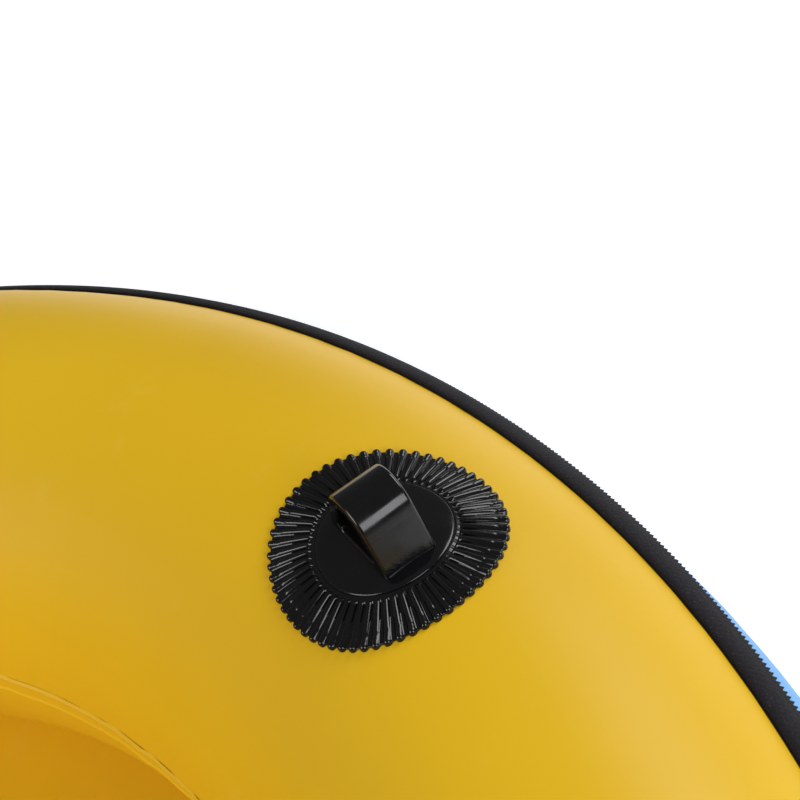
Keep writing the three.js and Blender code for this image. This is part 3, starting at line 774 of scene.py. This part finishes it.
def handle_rope():
    """The bow through both lugs and the grip, and the stopper knot past each lug."""
    g, s, r = GRIP_HALF, HANDLE_HALF_SPAN, HANDLE_REACH
    # Distance from the hinge line and along it, from past the lug to inside the grip.
    half = [(0, s + 0.0335), (0, s), (0, s - 0.014), (0.007, s - 0.022), (0.024, g + 0.015),
            (0.037, g + 0.010), (r - 0.001, g + 0.0035), (r, g - 0.003), (r, g - 0.012), (r, 0.012)]
    route = [(x, -y, 0) for x, y in half] + [(x, y, 0) for x, y in half[::-1]]
    parts = [braided(smooth_curve(route, 0.75 * MM), ROPE_RADIUS)]
    knot_start, knot_length = 0.0165, 0.0155
    for way in (1, -1):
        t = np.linspace(0, 1, 110)
        turn = TAU * KNOT_TURNS * t
        coil_radius = KNOT_RADIUS * np.clip(np.minimum(t, 1 - t) * 9, 0.35, 1)
        along = s + knot_start + knot_length * t
        coil = np.stack([coil_radius * np.cos(turn), way * along, coil_radius * np.sin(turn)], axis=-1)
        parts.append(braided(coil, KNOT_STRAND, sides=20))
    return parts


def grip():
    """Foam sleeve with rounded ends and shallow grooves."""
    rounding = np.linspace(0, math.pi / 2, 6)
    corner = GRIP_RADIUS - GRIP_EDGE
    first = (corner + GRIP_EDGE * np.sin(rounding), -GRIP_HALF + GRIP_EDGE - GRIP_EDGE * np.cos(rounding))
    last = (corner + GRIP_EDGE * np.cos(rounding), GRIP_HALF - GRIP_EDGE + GRIP_EDGE * np.sin(rounding))
    along = np.linspace(-GRIP_HALF + 8 * MM, GRIP_HALF - 8 * MM, 41)
    groove = 0.35 * MM * (0.5 + 0.5 * np.cos(along / (3.6 * MM) * math.pi))
    bore = ROPE_RADIUS + 0.7 * MM
    outline = np.vstack([
        [[bore, -GRIP_HALF]], np.stack(first, axis=-1), np.stack([GRIP_RADIUS - groove, along], axis=-1),
        np.stack(last, axis=-1), [[bore, GRIP_HALF]]])
    on_rope = Matrix.Translation((HANDLE_REACH, 0, 0)) @ Matrix.Rotation(-math.pi / 2, 4, "X")
    return moved(revolve(outline, 48), on_rope)


for side, sign in (("right", 1), ("left", -1)):
    seat = Matrix.Translation((sign * HANDLE_X, 0, HANDLE_AXIS_Z))
    seat = seat @ Matrix.Rotation(0 if sign > 0 else math.pi, 4, "Z") @ Matrix.Rotation(-HANDLE_REST, 4, "Y")
    build(f"{side}_braided_rope", [moved(part, seat) for part in handle_rope()], ROPE, f"{side}_handle",
          [f"{side}_handle_rope"], sharp=80)
    hand = build(f"{side}_foam_grip", [moved(grip(), seat)], FOAM, f"{side}_grip",
                 [f"{side}_handle_grip"])


# ---- valve ----

at_valve = Matrix.Translation(VALVE_AT)


def turned(outline, segments=96, wobble=None):
    """A small revolved part at the valve. The outline is in millimetres."""
    return moved(revolve(np.array(outline, float) * MM, segments, wobble=wobble), at_valve)


def cap_knurl(phi, outline):
    """Finger grooves down the cap's skirt."""
    on_skirt = (outline[:, 0] > 19 * MM) & (outline[:, 1] > 15.2 * MM) & (outline[:, 1] < 19.3 * MM)
    grooves, depth = 28, 0.5 * MM
    return -depth * np.clip(np.cos(phi * grooves), 0, 1) * on_skirt[None, :], 0


def capped(rows):
    """A grid from cross-sections [n, sides, 3], closed to a point at both ends."""
    ends = [np.broadcast_to(rows[k].mean(0), rows[k].shape)[None] for k in (0, -1)]
    return grid(np.concatenate([ends[0], rows, ends[1]]), wrap_u=False)


def cap_bar():
    """The finger bar across the cap, tapered at its ends."""
    half_length, half_width, half_height, height = 15, 2.0, 1.0, 19.1
    x = np.linspace(-half_length, half_length, 31)[:, None]
    turn = np.linspace(0, TAU, 16, endpoint=False)[None, :]
    taper = np.sqrt(np.clip(1 - (x / 15.6) ** 8, 0.02, 1))
    across = half_width * taper * np.cos(turn)
    up = height + half_height * taper * np.sin(turn)
    rows = np.stack([np.broadcast_to(x, across.shape), across, up], axis=-1)
    return moved(capped(rows * MM), at_valve)


cap_outline = [
    (0, 9.4), (8.6, 9.4), (9.2, 10), (9.2, 18), (18, 18), (18, 14.8), (19.6, 14.8), (20, 15.2), (20, 16),
    (20, 18), (20, 19.0), (19.6, 19.7), (18.8, 20), (16.5, 20), (15.9, 19.5), (15.5, 19.2), (0, 19.2)]
build("screw_cap", [turned(cap_outline, 224, cap_knurl), cap_bar()], BLACK, "valve_cap",
      ["valve_cap"], sharp=45)


def hoop(radius, height, half_width, half_height):
    """A small oval ring round the valve, in millimetres."""
    turn = np.linspace(0, TAU, 12, endpoint=False)
    across, up = radius + half_width * np.cos(turn), height + half_height * np.sin(turn)
    return turned(np.stack([across, up], axis=-1))


def tether_strap():
    """A flat strap that runs out from the insert, doubles back upwards and ends at the cap's loop."""
    route = [(-17.6, 13), (-19.6, 13.2), (-22.2, 14.6), (-25, 14.7), (-28.2, 14.7), (-29.6, 15.7),
             (-28.2, 16.7), (-25, 16.7), (-22.7, 16.7)]
    line = smooth_curve(np.array([(0, y, z) for y, z in route]) * MM, 0.5 * MM)
    turn = np.linspace(0, TAU, 14, endpoint=False)[None, :, None]
    along = np.gradient(line, axis=0)
    along /= np.linalg.norm(along, axis=1)[:, None]
    across = np.array([1.0, 0, 0])
    off = np.cross(along, across)
    half_width, half_thick = 2.0 * MM, 0.5 * MM
    rows = line[:, None] + across * (half_width * np.cos(turn)) + off[:, None] * (half_thick * np.sin(turn))
    return moved(capped(rows), at_valve)


def opening_ring():
    """The reinforcing ring welded round the cover's valve opening."""
    place = lug_surface(math.pi, math.pi / 2, 0.0)
    turn = np.linspace(0, TAU, 128, endpoint=False)[:, None]
    rho = np.array([[23.0, 23.3, 24.2, 33.8, 34.4, 35.6, 36.0, 36.0, 23.0]]) * MM
    height = np.array([[0.5, 0.9, 1.0, 1.0, 0.65, 0.6, 0.4, 0.05, 0.05]]) * MM
    across = rho * np.sin(turn)
    return grid(place(across, rho * np.cos(turn), np.broadcast_to(height, across.shape)))


build("tether_loop", [hoop(21.4, 16.6, 1.0, 0.6)], RUBBER, "valve_tether_ring",
      ["valve_tether_ring"])
build("cap_tether", [hoop(17.5, 13, 1.1, 0.6), tether_strap()], RUBBER, "valve_insert",
      ["valve_tether_strap"])
build("valve_opening_ring", [opening_ring()], YELLOW, "tube", ["valve_cover_ring"])


def cut_valve_opening():
    """Opens the upper cover round the valve."""
    bpy.ops.mesh.primitive_cylinder_add(vertices=96, radius=VALVE_OPENING, depth=0.06,
                                        location=(0, -RING, CREST))
    cutter = bpy.context.active_object
    modifier = cover_top.modifiers.new("opening", "BOOLEAN")
    modifier.object = cutter
    modifier.operation = "DIFFERENCE"
    modifier.solver = "EXACT"
    applied = bpy.data.meshes.new_from_object(cover_top.evaluated_get(bpy.context.evaluated_depsgraph_get()))
    cover_top.modifiers.clear()
    cover_top.data = applied
    bpy.data.objects.remove(cutter)


cut_valve_opening()


# ---- zipper ----

zip_top, zip_bottom = section(ZIP_ANGLES)
zip_along = (zip_bottom - zip_top) / np.linalg.norm(zip_bottom - zip_top)
zip_out = np.array([-zip_along[1], zip_along[0]])
zip_middle = (zip_top + zip_bottom) / 2


def on_zip(s, h):
    """Radius and height at s metres down the zipper's band and h off it, over the bulge of the cover."""
    s, h = np.asarray(s, float)[..., None], np.asarray(h, float)[..., None]
    bulge = ZIP_BULGE * (1 - (s / 0.02) ** 2)
    return zip_middle + s * zip_along + (h + bulge) * zip_out


def zip_ribbon(first, last):
    """One half of the zipper's woven tape, between two distances down the band."""
    s = np.linspace(first, last, 9)
    outline = np.vstack([on_zip(s, ZIP_LIFT + ZIP_TAPE), on_zip(s[::-1], ZIP_LIFT)])
    return revolve(outline, 180, math.pi - ZIP_HALF, 2 * ZIP_HALF)


def zip_teeth(sign):
    """One half of the coil: a row of wire loops that lean over the zipper's middle."""
    free_ends = 6                  # loops left out, so that the coil ends before its tape does
    first = 3.5 if sign < 0 else 4.0
    count = int(2 * ZIP_HALF * zip_middle[0] / COIL_PITCH) - free_ends
    bend = np.linspace(-0.30 * math.pi, 1.30 * math.pi, 9)
    loop = on_zip(sign * (1.55 - 1.75 * np.sin(bend)) * MM, (2.6 + 0.95 * np.cos(bend)) * MM)
    parts = []
    for i in range(count):
        azimuth = math.pi - ZIP_HALF + (i + first) * COIL_PITCH / zip_middle[0]
        path = np.stack([loop[:, 0] * math.sin(azimuth), loop[:, 0] * math.cos(azimuth), loop[:, 1]], axis=-1)
        around = (math.cos(azimuth), -math.sin(azimuth), 0)
        parts.append(tube(path, COIL_WIRE, 6, normal=around))
    return parts


for name, sign in (("upper", -1), ("lower", 1)):
    first, last = sorted((sign * 0.6 * MM, sign * 15 * MM))
    build(f"zip_ribbon_{name}", [zip_ribbon(first, last)], ZIP_WEAVE, "tube",
          [f"zip_tape_{name}"])
    build(f"zip_loops_{name}", zip_teeth(sign), COIL, "tube", [f"zip_coil_{name}"], sharp=80)


def polish(node, material, width):
    """A CAD piece that stays gets its finish and softened edges."""
    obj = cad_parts[node]
    obj.data.materials.clear()
    obj.data.materials.append(material)
    if width:
        bevel = obj.modifiers.new("soft_edges", "BEVEL")
        bevel.width = width
        bevel.segments = 3
        bevel.limit_method = "ANGLE"
        bevel.angle_limit = math.radians(40)


for node, material, width in (
    ("zip_slider", ZINC, 0.5 * MM),
    ("zip_pull", ZINC, 0.35 * MM),
    ("zip_stop_closed", ZINC, 0.3 * MM),
    ("zip_stop_open", ZINC, 0.3 * MM),
    ("bladder_upper", VINYL, 0),
    ("bladder_lower", VINYL, 0),
    ("valve_base", BLACK, 0.2 * MM),
    ("valve_gasket", RUBBER, 0.1 * MM),
    ("valve_insert", BLACK, 0.2 * MM),
    ("valve_diaphragm", RUBBER, 0.1 * MM),
):
    polish(node, material, width)


# ---- studio ----

def floor_material():
    """Pale studio floor that glows a little, so that it reads as near white."""
    s = Shader("studio_floor", Specular_IOR_Level=0.1, Emission_Strength=0.40)
    s.bsdf.inputs["Emission Color"].default_value = (1, 1, 1, 1)
    shade = s.noise(1.5)
    color = s.mix(shade, (0.90, 0.90, 0.90, 1), (0.94, 0.94, 0.94, 1))
    return s.finish(color, s.remap(shade, 0.3, 0.7, 0.7, 0.8))


bpy.ops.mesh.primitive_plane_add(size=16, location=(0, 0, -0.3 * MM))
ground = bpy.context.active_object
ground.name = "studio_floor"
ground.data.materials.append(floor_material())


def area_light(name, place, target, width, height, watts, color):
    """A soft rectangular light at place, turned towards target."""
    data = bpy.data.lights.new(name, "AREA")
    data.shape = "RECTANGLE"
    data.size = width
    data.size_y = height
    data.energy = watts
    data.color = color
    lamp = bpy.data.objects.new(name, data)
    lamp.location = place
    lamp.rotation_mode = "QUATERNION"
    lamp.rotation_quaternion = (Vector(target) - Vector(place)).to_track_quat("-Z", "Y")
    bpy.context.scene.collection.objects.link(lamp)


area_light("key", (1.60, 0.80, 1.02), (0, 0.45, 0.2), 1.0, 0.75, 14, (0.97, 0.98, 1.0))
area_light("rear_fill", (0.2, -2.6, 2.0), (0, 0, 0.1), 2.4, 1.6, 76, (1.0, 0.99, 0.97))
area_light("front_fill", (-0.3, 3.0, 1.9), (0, 0, 0.1), 2.2, 1.5, 64, (1.0, 0.99, 0.97))

world = bpy.data.worlds.new("studio")
bpy.context.scene.world = world
world.use_nodes = True
background = world.node_tree.nodes["Background"]
background.inputs["Color"].default_value = (1, 1, 1, 1)
background.inputs["Strength"].default_value = 0.16

forward = Vector((
    math.sin(CAMERA_HEADING) * math.cos(CAMERA_DIP),
    math.cos(CAMERA_HEADING) * math.cos(CAMERA_DIP),
    -math.sin(CAMERA_DIP)))
level = Vector((math.cos(CAMERA_HEADING), -math.sin(CAMERA_HEADING), 0))
down = forward.cross(level)
right = level * math.cos(CAMERA_ROLL) + down * math.sin(CAMERA_ROLL)
up = -(down * math.cos(CAMERA_ROLL) - level * math.sin(CAMERA_ROLL))
camera_data = bpy.data.cameras.new("camera")
camera_data.lens = CAMERA_LENS
camera_data.sensor_width = 36
camera_data.clip_start = 0.01
camera = bpy.data.objects.new("camera", camera_data)
camera.matrix_world = Matrix((
    (right[0], up[0], -forward[0], CAMERA_PLACE[0]),
    (right[1], up[1], -forward[1], CAMERA_PLACE[1]),
    (right[2], up[2], -forward[2], CAMERA_PLACE[2]),
    (0, 0, 0, 1)))
bpy.context.scene.collection.objects.link(camera)
bpy.context.scene.camera = camera
bpy.context.scene.view_settings.view_transform = "Standard"
